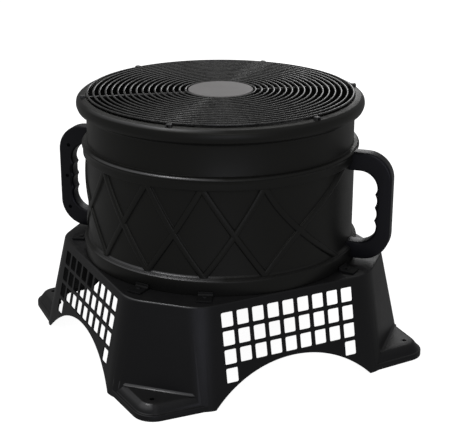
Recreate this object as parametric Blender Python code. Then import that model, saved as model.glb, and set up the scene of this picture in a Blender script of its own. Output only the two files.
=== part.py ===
# Air dancer blower: a moulded drum with a wire grille, two carrying handles and a
# four-legged square base with perforated sides, with its motor and fan wheel inside.
# Metres, +Z up. The origin is the middle of the base's footprint, on the floor.
# The front side faces -Y. A bearing is measured in degrees from -Y towards +X.

import math

import bmesh
import bpy
from mathutils import Matrix, Vector

GAP = 0.0003                  # clearance between two pieces that touch

# Base: a four-sided hollow pyramid stump with cut corners and a flange foot at each corner
BASE_HEIGHT = 0.162
BASE_HALF_FLOOR = 0.2729      # middle of a side to the axis, at the floor
WALL_SLOPE = 0.215            # how much a side leans in for each unit of height
CORNER_FLOOR = 0.3073         # cut corner to the axis, at the floor
CORNER_SLOPE = 0.188
CORNER_ROUND = 0.050          # rounding between a side and a cut corner, at the floor
ROUND_GROWTH = 0.090          # how much that rounding grows for each unit of height
SHELL = 0.0025                # wall thickness of the base
TOP_EDGE = 0.002              # bevel round the top plate
BELOW = -0.005                # cutters of the base start this far under the floor
SHELF_HOLE_RADIUS = 0.216
SHELF_HOLE_REACH = 0.015      # its cutter reaches this far above and below the shelf's top

FOOT_SIDE = 0.2703            # a foot's side to the axis, beside the arch
FOOT_SIDE_AT = 0.140          # where that is measured
FOOT_TAPER = 0.064            # how much the side closes in towards the tip
FOOT_HEIGHT = 0.024
FOOT_SKIRT = 0.0100           # upright part of a foot's edge, below its slope
FOOT_SLOPE = 0.0145           # how far the slope draws in
FOOT_ROUND = 0.035            # rounding of the tip
FOOT_INNER = 0.100            # where a foot's outline starts, inside the base
FOOT_ROOM_INNER = 0.110
FOOT_ROOM_SKIRT = 0.0080      # upright part of the hollow under a foot
FOOT_ROOM_SLOPE = 0.0135      # how far that hollow draws in at its roof
BOLT_PLACE = 0.234            # each foot's bolt hole, from the axis along X and along Y
BOLT_RADIUS = 0.004
BOLT_TOP = 0.040              # height of the cutter of the bolt hole
BOSS_RADIUS = 0.014
BOSS_HEIGHT = FOOT_HEIGHT - 0.002

ARCH_RADIUS = 0.199
ARCH_RISE = 0.0596            # top of the arch above the floor
ARCH_REACH = 0.150            # half the width of the arch's cutter, past the arch's ends at the floor
ARCH_BELOW = -0.010
CUT_BEYOND = BASE_HALF_FLOOR + 0.020

HOLE_WIDTH = 0.0206
HOLE_HEIGHT = 0.0236
HOLE_PITCH_ACROSS = 0.02707
HOLE_PITCH_DOWN = 0.02918
HOLE_TOP_ROW = 0.1365         # height of the middle of the top row
HOLE_SIDE_COLUMNS = 4         # columns on each side of the middle one
HOLE_ROWS = 4                 # the lowest row has only its two end holes

# Drum: radius and height of the outside, from the foot of the skirt to the lip's inner edge
DRUM_FOOT = BASE_HEIGHT + GAP
DRUM_BORE = 0.221
FIELD_RADIUS = 0.2270
FIELD_BOTTOM = 0.1920
FIELD_TOP = 0.3345
NECK_RADIUS = 0.2250
LIP_TOP = 0.4315
DRUM_OUTSIDE = [
    (0.2345, DRUM_FOOT),
    (0.2352, 0.1860),         # edge of the skirt
    (0.2325, 0.1877),         # groove above it
    (0.2325, 0.1902),
    (FIELD_RADIUS, FIELD_BOTTOM),
    (FIELD_RADIUS, FIELD_TOP),
    (0.2330, 0.3355),         # band under the ledge
    (0.2340, 0.3525),         # ledge
    (NECK_RADIUS, 0.3554),
    (NECK_RADIUS, 0.4070),    # neck
    (0.2383, 0.4115),         # underside of the lip
    (0.2410, 0.4180),
    (0.2398, 0.4275),
    (0.2350, LIP_TOP),
    (0.2270, LIP_TOP),
    (DRUM_BORE, 0.4235),
]
DRUM_STEPS = 60
CLEARANCE_BOTTOM = 0.100      # the drum's outline as a cutter runs between these heights
CLEARANCE_TOP = 0.400
LEDGE_BOTTOM = 0.345          # level faces of the ledge are above this height
BAND_STEP = (0.330, 0.340)    # the step out from the field to the band is between these heights

# Lattice of ribs: each rib is a curve of bearing against height, through its top, middle and foot.
# The first column is its side of the drum, then three bearings from that side's middle.
RIB_TOP_RADIUS = 0.2312
RIB_ROOT_RADIUS = 0.2240
RIB_WIDTH = 0.0100
RIB_MIDDLE = 0.2600
RIB_PIECES = 4
RIB_STEP = 0.0005             # ribs that lean the other way are this much lower
RIB_BEYOND = 0.003            # how far the ribs run into the band above and the groove below
FRONT_SIDE = -45.0            # bearing of the middle between the handles, on the front side
BACK_SIDE = 135.0
INNER_RIBS = [
    (-36.0, -24.2, -12.0),
    (-11.5, 0.0, 12.0),
    (11.5, 24.2, 36.5),
]
FRONT_END_RIBS = [
    (36.0, 51.0, 74.0),
    (81.0, 53.0, 36.5),
]
BACK_END_RIBS = [
    (36.0, 49.0, 62.0),
    (62.0, 49.0, 36.5),
]

# Handles: outline in the plane through the axis, radius and height
HANDLE_BEARINGS = {"handle_right": 45.0, "handle_left": -135.0}
HANDLE_WIDTH = 0.026
HANDLE_OUTER = 0.2985
HANDLE_TOP = 0.3530
HANDLE_BOTTOM = 0.1680
HANDLE_TOP_ROUND = 0.045
HANDLE_BOTTOM_ROUND = 0.047
HANDLE_ROOT = 0.2200          # runs into the drum, where it is cut to the drum's shape
GRIP_INNER = 0.2745
GRIP_TOP = 0.3215
GRIP_BOTTOM = 0.1975
GRIP_ROUND = 0.030
SCALLOP_HEIGHTS = [0.2830, 0.2603, 0.2377]
SCALLOP_DEPTH = 0.0033
SCALLOP_MOUTH = 0.0062        # half its height where it is open
SCALLOP_FLOOR = 0.0013        # half its height at the bottom
SCREW_PLACES = [(0.2790, 0.3170), (0.2840, 0.2600), (0.2810, 0.2020)]
SCREW_RADIUS = 0.0036
SCREW_DEPTH = 0.006
SCREW_ABOVE = 0.004           # its cutter stands this far out of the handle's side

# Grille: concentric wire rings on spokes, with a plain disc in the middle
GRILLE_HEIGHT = 0.4370        # middle of the ring wires
WIRE_RADIUS = 0.0017
WIRE_CORNER = 0.0019          # the square wire's corners stand out a little further
RING_COUNT = 17
RING_FIRST = 0.0588
RING_PITCH = 0.0102
RING_STEPS = 14               # straight pieces in the smallest ring, one more in each next one
DISC_RADIUS = 0.0544
DISC_EDGE = 0.0006            # bevel round the disc's top
SPOKE_COUNT = 6
SPOKE_BEARING = -46.0
SPOKE_RADIUS = 0.0022
SPOKE_START = 0.020
SPOKE_END = 0.2315
SPOKE_HEIGHT = LIP_TOP + GAP + SPOKE_RADIUS

CLIP_WIDTH = 0.014
CLIP_DEPTH = 0.008
CLIP_PLACE = 0.2300
CLIP_TOP = 0.4387
CLIP_SLOT = 0.0054
CLIP_ROOF = 0.0018
CLIP_EDGE_IN = 0.0020         # bevel along a clip's top, inwards and downwards
CLIP_EDGE_DOWN = 0.0025

# Motor on its cross, and the fan wheel
CROSS_BOTTOM = 0.1880
CROSS_THICK = 0.006
CROSS_WIDTH = 0.028
CROSS_REACH = 0.2199
CROSS_HUB = 0.060
CROSS_TAB = 0.022             # height of the tab at an arm's end
CROSS_TAB_THICK = 0.005
CROSS_TAB_INSET = 0.001       # the tab is this much narrower and higher than the arm's own faces
MOTOR_RADIUS = 0.070
MOTOR_BOTTOM = CROSS_BOTTOM + CROSS_THICK + GAP
MOTOR_TOP = 0.320
SHAFT_RADIUS = 0.008
SHAFT_BORE = SHAFT_RADIUS + 0.0006
SHAFT_DEPTH = 0.014           # how far the shaft stands in the motor
SHAFT_BORE_DEPTH = 0.016
MOTOR_OUTSIDE = [             # radius and height, from the rim of the bottom to the bore's edge
    (MOTOR_RADIUS - 0.012, MOTOR_BOTTOM),
    (MOTOR_RADIUS, MOTOR_BOTTOM + 0.010),
    (MOTOR_RADIUS, MOTOR_TOP - 0.030),
    (MOTOR_RADIUS - 0.006, MOTOR_TOP - 0.014),
    (0.022, MOTOR_TOP - 0.006),
    (0.020, MOTOR_TOP),
    (SHAFT_BORE, MOTOR_TOP),
]
HUB_RADIUS = 0.058
HUB_BOTTOM = 0.3300
HUB_TOP = 0.3850
HUB_EDGE_IN = 0.012           # bevel round the hub's top, inwards and downwards
HUB_EDGE_DOWN = 0.010
BLADE_COUNT = 7
BLADE_ROOT = 0.052
BLADE_TIP = 0.206
BLADE_MIDDLE = 0.3600
BLADE_THICK = 0.0035
BLADE_STATIONS = 5
BLADE_CHORD_ROOT = 0.060
BLADE_CHORD_TIP = 0.098
BLADE_PITCH_ROOT = 48.0
BLADE_PITCH_TIP = 24.0
BLADE_CAMBER = 0.006

# Angle brackets that hold the drum down on the base, in pairs beside each corner
TAB_SPREAD = 13.0
TAB_WIDTH = 0.024
TAB_LENGTH = 0.026
TAB_THICK = 0.003
TAB_HEIGHT = 0.008
TAB_ROUND = 0.002             # fillet in the bend

# Cable gland low on the drum's back
GLAND_BEARING = 180.0
GLAND_HEIGHT = 0.1745
GLAND_FACE = 0.2356
GLAND_BORE = 0.0036
GLAND_BORE_DEPTH = 0.016
GLAND_SHAPE = [(0.0, 0.0), (0.0105, 0.0), (0.0105, 0.005), (0.0085, 0.006), (0.0085, 0.014),
               (0.006, 0.019), (0.0, 0.019)]

COLOURS = {                   # red, green, blue, roughness, metallic
    "black_plastic": (0.022, 0.022, 0.023, 0.42, 0.0),
    "handle_plastic": (0.020, 0.020, 0.024, 0.38, 0.0),
    "wire": (0.16, 0.16, 0.16, 0.40, 0.6),
    "disc_grey": (0.22, 0.21, 0.21, 0.55, 0.0),
    "clip_steel": (0.10, 0.10, 0.10, 0.35, 0.8),
    "bracket_steel": (0.045, 0.045, 0.047, 0.45, 0.7),
    "motor_paint": (0.06, 0.06, 0.062, 0.5, 0.2),
    "fan_plastic": (0.035, 0.035, 0.036, 0.5, 0.0),
}


def clear_scene():
    for thing in list(bpy.data.objects):
        bpy.data.objects.remove(thing, do_unlink=True)


def make_material(name):
    red, green, blue, roughness, metallic = COLOURS[name]
    material = bpy.data.materials.new(name)
    material.use_nodes = True
    shader = material.node_tree.nodes["Principled BSDF"]
    shader.inputs["Base Color"].default_value = (red, green, blue, 1.0)
    shader.inputs["Roughness"].default_value = roughness
    shader.inputs["Metallic"].default_value = metallic
    return material


def heading(bearing):
    """Unit vector of a bearing in degrees, level."""
    angle = math.radians(bearing)
    return Vector((math.sin(angle), -math.cos(angle), 0.0))


def add_object(name, points, faces, material=None):
    """Puts a closed mesh into the scene, with its faces turned outwards."""
    mesh = bpy.data.meshes.new(name)
    mesh.from_pydata([tuple(p) for p in points], [], faces)
    shaped = bmesh.new()
    shaped.from_mesh(mesh)
    bmesh.ops.recalc_face_normals(shaped, faces=shaped.faces)
    shaped.to_mesh(mesh)
    shaped.free()
    thing = bpy.data.objects.new(name, mesh)
    bpy.context.scene.collection.objects.link(thing)
    if material:
        mesh.materials.append(material)
        mesh.shade_smooth()
        mesh.set_sharp_from_angle(angle=math.radians(30))
    return thing


def add_cutter(name, points, faces, twisted=False):
    """A guide for a Boolean. Twisted faces are cut into triangles, so that each one is flat."""
    cutter = add_object(name, points, faces)
    if twisted:
        shaped = bmesh.new()
        shaped.from_mesh(cutter.data)
        bmesh.ops.triangulate(shaped, faces=shaped.faces[:])
        shaped.to_mesh(cutter.data)
        shaped.free()
    cutter.hide_render = True
    cutter.display_type = "WIRE"
    return cutter


def combine(target, other, operation):
    """Joins or cuts the target by another object, which then stays hidden."""
    other.hide_render = True
    other.display_type = "WIRE"
    step = target.modifiers.new(operation.lower() + "_" + other.name, "BOOLEAN")
    step.operation = operation
    step.object = other
    step.solver = "EXACT"


def loft(rings):
    """Points and faces of a closed body through level rings with equal counts of points."""
    count = len(rings[0])
    points = [p for ring in rings for p in ring]
    faces = [list(range(count))]
    for level in range(len(rings) - 1):
        low = level * count
        for i in range(count):
            j = (i + 1) % count
            faces.append([low + i, low + j, low + count + j, low + count + i])
    faces.append(list(range((len(rings) - 1) * count, len(rings) * count)))
    return points, faces


def turned(profile, steps, open_profile=False):
    """Points and faces of a closed outline turned round Z. Points on the axis are shared."""
    points = []
    rows = []
    for radius, height in profile:
        if radius == 0.0:
            rows.append([len(points)] * steps)
            points.append((0.0, 0.0, height))
            continue
        row = []
        for i in range(steps):
            angle = 2 * math.pi * i / steps
            row.append(len(points))
            points.append((radius * math.cos(angle), radius * math.sin(angle), height))
        rows.append(row)
    faces = []
    last = len(rows) - 1 if open_profile else len(rows)
    for level in range(last):
        low = rows[level]
        high = rows[(level + 1) % len(rows)]
        for i in range(steps):
            j = (i + 1) % steps
            corners = [low[i], low[j], high[j], high[i]]
            face = list(dict.fromkeys(corners))
            if len(face) > 2:
                faces.append(face)
    return points, faces


def box(low, high):
    """Points and faces of an upright box."""
    ring = [(low[0], low[1]), (high[0], low[1]), (high[0], high[1]), (low[0], high[1])]
    return loft([[(x, y, low[2]) for x, y in ring], [(x, y, high[2]) for x, y in ring]])


def gather(shapes):
    """Joins the points and faces of several separate shapes."""
    points = []
    faces = []
    for shape_points, shape_faces in shapes:
        start = len(points)
        points += [tuple(p) for p in shape_points]
        faces += [[start + i for i in face] for face in shape_faces]
    return points, faces


def moved(shape, matrix):
    points, faces = shape
    return [matrix @ Vector(p) for p in points], faces


def base_ring(height, inset=0.0):
    """Outline of the base at a height: four sides, four cut corners, rounded between them."""
    half = BASE_HALF_FLOOR - WALL_SLOPE * height - inset
    corner = CORNER_FLOOR - CORNER_SLOPE * height - inset
    radius = CORNER_ROUND + ROUND_GROWTH * height - inset
    run = corner * math.sqrt(2) - half - radius * math.tan(math.radians(22.5))
    arc_steps = 3
    ring = []
    for turn in range(4):
        spin = Matrix.Rotation(math.radians(90 * turn), 2)
        for start, middle in ((0, (half - radius, run)), (45, (run, half - radius))):
            for i in range(arc_steps + 1):
                angle = math.radians(start + 45 * i / arc_steps)
                point = Vector((middle[0] + radius * math.cos(angle), middle[1] + radius * math.sin(angle)))
                ring.append(spin @ point)
    return [(x, y, height) for x, y in ring]


def foot_ring(inset, height, inner=FOOT_INNER):
    """Outline of the foot in the +X +Y corner: two sides that close in towards a rounded tip."""
    lean = math.atan(FOOT_TAPER)
    radius = FOOT_ROUND - inset
    start = FOOT_SIDE + FOOT_TAPER * (FOOT_SIDE_AT - inner) - inset / math.cos(lean)
    tip = (start + FOOT_TAPER * inner) / (1 + FOOT_TAPER)
    centre = tip - radius / (math.cos(lean) * (1 + FOOT_TAPER))
    arc_steps = 4
    ring = [(inner, inner), (start, inner)]
    for i in range(arc_steps + 1):
        angle = lean + (math.pi / 2 - 2 * lean) * i / arc_steps
        ring.append((centre + radius * math.cos(angle), centre + radius * math.sin(angle)))
    ring.append((inner, start))
    return [(x, y, height) for x, y in ring]


def at_each_corner(shape):
    return gather([moved(shape, Matrix.Rotation(math.radians(90 * turn), 4, "Z")) for turn in range(4)])


def arch_cutter(name, along_x):
    """A long bar under both arches of one direction, round on top."""
    steps = 14
    outline = [(-ARCH_REACH, ARCH_BELOW), (ARCH_REACH, ARCH_BELOW)]
    for i in range(steps + 1):
        across = ARCH_REACH - 2 * ARCH_REACH * i / steps
        outline.append((across, ARCH_RISE - ARCH_RADIUS + math.sqrt(ARCH_RADIUS ** 2 - across ** 2)))
    near_ring = [(a, -CUT_BEYOND, z) for a, z in outline]
    far_ring = [(a, CUT_BEYOND, z) for a, z in outline]
    shape = loft([near_ring, far_ring])
    if along_x:
        shape = moved(shape, Matrix.Rotation(math.radians(90), 4, "Z"))
    return add_cutter(name, *shape)


def vent_cutter(name, along_x):
    """One bar for each pair of opposite holes in the sides."""
    bars = []
    for row in range(HOLE_ROWS):
        height = HOLE_TOP_ROW - row * HOLE_PITCH_DOWN
        for column in range(-HOLE_SIDE_COLUMNS, HOLE_SIDE_COLUMNS + 1):
            if row == HOLE_ROWS - 1 and abs(column) < HOLE_SIDE_COLUMNS:
                continue
            across = column * HOLE_PITCH_ACROSS
            bars.append(box((across - HOLE_WIDTH / 2, -CUT_BEYOND, height - HOLE_HEIGHT / 2),
                            (across + HOLE_WIDTH / 2, CUT_BEYOND, height + HOLE_HEIGHT / 2)))
    shape = gather(bars)
    if along_x:
        shape = moved(shape, Matrix.Rotation(math.radians(90), 4, "Z"))
    return add_cutter(name, *shape)


def make_base(material):
    base = add_object("base", *loft([base_ring(0.0), base_ring(BASE_HEIGHT - TOP_EDGE),
                                     base_ring(BASE_HEIGHT, TOP_EDGE)]), material)
    foot = loft([foot_ring(0.0, 0.0), foot_ring(0.0, FOOT_SKIRT), foot_ring(FOOT_SLOPE, FOOT_HEIGHT)])
    feet = at_each_corner(foot)
    combine(base, add_cutter("feet_outside", *feet), "UNION")
    room = loft([base_ring(BELOW, SHELL), base_ring(BASE_HEIGHT - SHELL, SHELL)])
    combine(base, add_cutter("base_room", *room), "DIFFERENCE")
    foot_room = at_each_corner(loft([
        foot_ring(SHELL, BELOW, FOOT_ROOM_INNER),
        foot_ring(SHELL, FOOT_ROOM_SKIRT, FOOT_ROOM_INNER),
        foot_ring(FOOT_ROOM_SLOPE, FOOT_HEIGHT - SHELL, FOOT_ROOM_INNER)]))
    combine(base, add_cutter("feet_room", *foot_room), "DIFFERENCE")
    place = Matrix.Translation((BOLT_PLACE, BOLT_PLACE, 0.0))
    boss = turned([(0.0, 0.0), (BOSS_RADIUS, 0.0), (BOSS_RADIUS, BOSS_HEIGHT), (0.0, BOSS_HEIGHT)], 16, True)
    combine(base, add_cutter("bosses", *at_each_corner(moved(boss, place))), "UNION")
    bolt = turned([(0.0, BELOW), (BOLT_RADIUS, BELOW), (BOLT_RADIUS, BOLT_TOP), (0.0, BOLT_TOP)], 10, True)
    combine(base, add_cutter("bolt_holes", *at_each_corner(moved(bolt, place))), "DIFFERENCE")
    combine(base, arch_cutter("arches_front_back", False), "DIFFERENCE")
    combine(base, arch_cutter("arches_left_right", True), "DIFFERENCE")
    combine(base, vent_cutter("vents_front_back", False), "DIFFERENCE")
    combine(base, vent_cutter("vents_left_right", True), "DIFFERENCE")
    low = BASE_HEIGHT - SHELF_HOLE_REACH
    high = BASE_HEIGHT + SHELF_HOLE_REACH
    hole = turned([(0.0, low), (SHELF_HOLE_RADIUS, low), (SHELF_HOLE_RADIUS, high), (0.0, high)], 48, True)
    combine(base, add_cutter("shelf_hole", *hole), "DIFFERENCE")
    return base


def rib_bar(side, sink, top, middle, foot):
    """A raised bar on the drum: its bearing is the parabola through three heights."""
    heights = [FIELD_TOP + RIB_BEYOND - sink, RIB_MIDDLE, FIELD_BOTTOM - RIB_BEYOND + sink]
    outer = RIB_TOP_RADIUS - sink
    inner = RIB_ROOT_RADIUS - sink
    bearings = [top, middle, foot]
    rings = []
    for i in range(RIB_PIECES + 1):
        z = heights[0] + (heights[2] - heights[0]) * i / RIB_PIECES
        bearing = 0.0
        lean = 0.0
        for a in range(3):
            b, c = [k for k in range(3) if k != a]
            scale = bearings[a] / ((heights[a] - heights[b]) * (heights[a] - heights[c]))
            bearing += scale * (z - heights[b]) * (z - heights[c])
            lean += scale * (2 * z - heights[b] - heights[c])
        # half the bar's width, measured level along the drum
        slope = math.radians(lean) * outer
        half = math.degrees(RIB_WIDTH / 2 * math.sqrt(1 + slope * slope) / outer)
        left = heading(side + bearing - half)
        right = heading(side + bearing + half)
        lift = Vector((0.0, 0.0, z))
        rings.append([left * inner + lift, right * inner + lift, right * outer + lift, left * outer + lift])
    return loft(rings)


def make_drum(material):
    outline = DRUM_OUTSIDE + [(DRUM_BORE, DRUM_FOOT)]
    drum = add_object("drum", *turned(outline, DRUM_STEPS), material)
    sides = (("front", FRONT_SIDE, FRONT_END_RIBS), ("back", BACK_SIDE, BACK_END_RIBS))
    for side_name, side, end_ribs in sides:
        leaning = INNER_RIBS + [end_ribs[0], tuple(-b for b in end_ribs[1])]
        for sign, way, sink in ((1, "down", 0.0), (-1, "up", RIB_STEP)):
            bars = [rib_bar(side, sink, *(sign * b for b in row)) for row in leaning]
            combine(drum, add_cutter("ribs_" + side_name + "_" + way, *gather(bars), twisted=True), "UNION")
    return drum


def drum_clearance(name):
    """The drum's outside, a little larger, to cut what stands against it."""
    outline = [(0.0, CLEARANCE_BOTTOM), (DRUM_OUTSIDE[0][0] + GAP, CLEARANCE_BOTTOM)]
    for radius, height in DRUM_OUTSIDE[:9]:
        lift = GAP if height > LEDGE_BOTTOM else 0.0
        drop = GAP if radius > FIELD_RADIUS and BAND_STEP[0] < height < BAND_STEP[1] else 0.0
        outline.append((radius + GAP, height + lift - drop))
    outline += [(NECK_RADIUS + GAP, CLEARANCE_TOP), (0.0, CLEARANCE_TOP)]
    return add_cutter(name, *turned(outline, DRUM_STEPS, True))


def corner_arc(centre, radius, start, stop, steps):
    """Points of an arc in the handle's plane, angles in degrees."""
    points = []
    for i in range(steps + 1):
        angle = math.radians(start + (stop - start) * i / steps)
        points.append((centre[0] + radius * math.cos(angle), centre[1] + radius * math.sin(angle)))
    return points


def handle_outline():
    """Radius and height round the handle: outside from the lower root, then the grip with its scallops."""
    outside = [(HANDLE_ROOT, HANDLE_BOTTOM)]
    outside += corner_arc((HANDLE_OUTER - HANDLE_BOTTOM_ROUND, HANDLE_BOTTOM + HANDLE_BOTTOM_ROUND),
                          HANDLE_BOTTOM_ROUND, -90, 0, 5)
    outside += corner_arc((HANDLE_OUTER - HANDLE_TOP_ROUND, HANDLE_TOP - HANDLE_TOP_ROUND),
                          HANDLE_TOP_ROUND, 0, 90, 5)
    outside.append((HANDLE_ROOT, HANDLE_TOP))
    grip = [(HANDLE_ROOT, GRIP_TOP)]
    grip += corner_arc((GRIP_INNER - GRIP_ROUND, GRIP_TOP - GRIP_ROUND), GRIP_ROUND, 90, 0, 4)
    for height in SCALLOP_HEIGHTS:
        grip.append((GRIP_INNER, height + SCALLOP_MOUTH))
        grip.append((GRIP_INNER - SCALLOP_DEPTH, height + SCALLOP_FLOOR))
        grip.append((GRIP_INNER - SCALLOP_DEPTH, height - SCALLOP_FLOOR))
        grip.append((GRIP_INNER, height - SCALLOP_MOUTH))
    grip += corner_arc((GRIP_INNER - GRIP_ROUND, GRIP_BOTTOM + GRIP_ROUND), GRIP_ROUND, 0, -90, 4)
    grip.append((HANDLE_ROOT, GRIP_BOTTOM))
    return outside + grip


def make_handle(name, bearing, material, clearance):
    outline = handle_outline()
    out = heading(bearing)
    side = Vector((-out.y, out.x, 0.0))
    rings = []
    for offset in (-HANDLE_WIDTH / 2, HANDLE_WIDTH / 2):
        rings.append([out * r + side * offset + Vector((0.0, 0.0, z)) for r, z in outline])
    handle = add_object(name, *loft(rings), material)
    combine(handle, clearance, "DIFFERENCE")
    screws = []
    for radius, height in SCREW_PLACES:
        screw = turned([(0.0, -SCREW_DEPTH), (SCREW_RADIUS, -SCREW_DEPTH),
                        (SCREW_RADIUS, SCREW_ABOVE), (0.0, SCREW_ABOVE)], 8, True)
        turn = Matrix((side, Vector((0.0, 0.0, 1.0)), side.cross(Vector((0.0, 0.0, 1.0))))).transposed()
        frame = Matrix.Identity(4)
        for row in range(3):
            frame[row][0] = turn[row][1]
            frame[row][1] = turn[row][2]
            frame[row][2] = turn[row][0]
        place = out * radius + side * (HANDLE_WIDTH / 2) + Vector((0.0, 0.0, height))
        screws.append(moved(screw, Matrix.Translation(place) @ frame))
    combine(handle, add_cutter(name + "_screw_holes", *gather(screws)), "DIFFERENCE")
    return handle


def wire_ring(radius, steps):
    """A ring of square wire, standing on its edge."""
    section = [(radius, GRILLE_HEIGHT - WIRE_CORNER), (radius + WIRE_CORNER, GRILLE_HEIGHT),
               (radius, GRILLE_HEIGHT + WIRE_RADIUS), (radius - WIRE_CORNER, GRILLE_HEIGHT)]
    return turned(section, steps)


def spoke(bearing):
    """A six-sided rod under the rings, out to the lip."""
    out = heading(bearing)
    side = Vector((-out.y, out.x, 0.0))
    rings = []
    for radius in (SPOKE_START, SPOKE_END):
        ring = []
        for i in range(6):
            angle = math.radians(60 * i)
            ring.append(out * radius + side * (SPOKE_RADIUS * math.cos(angle))
                        + Vector((0.0, 0.0, SPOKE_HEIGHT + SPOKE_RADIUS * math.sin(angle))))
        rings.append(ring)
    return loft(rings)


def make_grille(material):
    top = GRILLE_HEIGHT + WIRE_RADIUS
    bottom = GRILLE_HEIGHT - WIRE_RADIUS
    disc = turned([(0.0, bottom), (DISC_RADIUS, bottom), (DISC_RADIUS, top - DISC_EDGE),
                   (DISC_RADIUS - DISC_EDGE, top), (0.0, top)], 32, True)
    grille = add_object("grille", *disc, material)
    spokes = gather([spoke(SPOKE_BEARING + 360 / SPOKE_COUNT * i) for i in range(SPOKE_COUNT)])
    combine(grille, add_cutter("spokes", *spokes), "UNION")
    rings = gather([wire_ring(RING_FIRST + RING_PITCH * i, RING_STEPS + i) for i in range(RING_COUNT)])
    combine(grille, add_cutter("rings", *rings), "UNION")
    return grille


def make_clip(name, bearing, material):
    """A small bridge over a spoke's end, standing on the lip."""
    foot = LIP_TOP + GAP
    half = CLIP_WIDTH / 2
    slot = CLIP_SLOT / 2
    roof = CLIP_TOP - CLIP_ROOF
    outline = [(-half, foot), (-slot, foot), (-slot, roof), (slot, roof), (slot, foot), (half, foot),
               (half, CLIP_TOP - CLIP_EDGE_DOWN), (half - CLIP_EDGE_IN, CLIP_TOP),
               (-half + CLIP_EDGE_IN, CLIP_TOP), (-half, CLIP_TOP - CLIP_EDGE_DOWN)]
    out = heading(bearing)
    side = Vector((-out.y, out.x, 0.0))
    rings = []
    for radius in (CLIP_PLACE - CLIP_DEPTH / 2, CLIP_PLACE + CLIP_DEPTH / 2):
        rings.append([out * radius + side * a + Vector((0.0, 0.0, z)) for a, z in outline])
    return add_object(name, *loft(rings), material)


def make_cross(material):
    """Four flat arms with end tabs, from the drum's bore to a round plate under the motor."""
    top = CROSS_BOTTOM + CROSS_THICK
    plate = turned([(0.0, CROSS_BOTTOM), (CROSS_HUB, CROSS_BOTTOM), (CROSS_HUB, top), (0.0, top)], 24, True)
    cross = add_object("motor_cross", *plate, material)
    for i, bearing in enumerate((45.0, 135.0)):
        turn = Matrix.Rotation(math.radians(bearing), 4, "Z")
        arm = box((-CROSS_WIDTH / 2, -CROSS_REACH, CROSS_BOTTOM), (CROSS_WIDTH / 2, CROSS_REACH, top))
        combine(cross, add_cutter("cross_arm_" + str(i + 1), *moved(arm, turn)), "UNION")
        tabs = []
        for sign in (-1, 1):
            ends = sorted((sign * (CROSS_REACH - CROSS_TAB_THICK), sign * CROSS_REACH))
            half = CROSS_WIDTH / 2 - CROSS_TAB_INSET
            tab = box((-half, ends[0], CROSS_BOTTOM + CROSS_TAB_INSET), (half, ends[1], CROSS_BOTTOM + CROSS_TAB))
            tabs.append(moved(tab, turn))
        combine(cross, add_cutter("cross_tabs_" + str(i + 1), *gather(tabs)), "UNION")
    return cross


def make_motor(material):
    bore_floor = MOTOR_TOP - SHAFT_BORE_DEPTH
    outline = [(0.0, MOTOR_BOTTOM)] + MOTOR_OUTSIDE + [(SHAFT_BORE, bore_floor), (0.0, bore_floor)]
    return add_object("motor", *turned(outline, 24, True), material)


def fan_blade(bearing):
    """One blade: thin curved sections along the radius, steep at the root and flatter at the tip."""
    chord_steps = (-0.5, 0.0, 0.5)
    rings = []
    for i in range(BLADE_STATIONS):
        share = i / (BLADE_STATIONS - 1)
        radius = BLADE_ROOT + (BLADE_TIP - BLADE_ROOT) * share
        chord = BLADE_CHORD_ROOT + (BLADE_CHORD_TIP - BLADE_CHORD_ROOT) * share
        pitch = math.radians(BLADE_PITCH_ROOT + (BLADE_PITCH_TIP - BLADE_PITCH_ROOT) * share)
        upper = []
        lower = []
        for step in chord_steps:
            arch = BLADE_CAMBER * (1 - 4 * step * step)
            around = chord * step * math.cos(pitch) - arch * math.sin(pitch)
            z = BLADE_MIDDLE + chord * step * math.sin(pitch) + arch * math.cos(pitch)
            out = heading(bearing + math.degrees(around / radius))
            upper.append(out * radius + Vector((0.0, 0.0, z + BLADE_THICK / 2)))
            lower.append(out * radius + Vector((0.0, 0.0, z - BLADE_THICK / 2)))
        rings.append(upper + lower[::-1])
    return loft(rings)


def make_fan(material):
    outline = [
        (0.0, MOTOR_TOP - SHAFT_DEPTH), (SHAFT_RADIUS, MOTOR_TOP - SHAFT_DEPTH), (SHAFT_RADIUS, HUB_BOTTOM),
        (HUB_RADIUS, HUB_BOTTOM), (HUB_RADIUS, HUB_TOP - HUB_EDGE_DOWN), (HUB_RADIUS - HUB_EDGE_IN, HUB_TOP),
        (0.0, HUB_TOP)]
    fan = add_object("fan", *turned(outline, 28, True), material)
    blades = gather([fan_blade(360 / BLADE_COUNT * i) for i in range(BLADE_COUNT)])
    combine(fan, add_cutter("blades", *blades, twisted=True), "UNION")
    return fan


def make_tab(name, bearing, material):
    """An angle bracket: one leaf flat on the base's shelf, the other up against the drum."""
    inner = DRUM_OUTSIDE[1][0] + GAP
    foot = BASE_HEIGHT + GAP
    half = TAB_WIDTH / 2
    outline = [(inner, foot), (inner + TAB_LENGTH, foot), (inner + TAB_LENGTH, foot + TAB_THICK),
               (inner + TAB_THICK + TAB_ROUND, foot + TAB_THICK), (inner + TAB_THICK, foot + TAB_THICK + TAB_ROUND),
               (inner + TAB_THICK, foot + TAB_HEIGHT), (inner, foot + TAB_HEIGHT)]
    out = heading(bearing)
    side = Vector((-out.y, out.x, 0.0))
    rings = []
    for offset in (-half, half):
        rings.append([out * r + side * offset + Vector((0.0, 0.0, z)) for r, z in outline])
    return add_object(name, *loft(rings), material)


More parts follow.
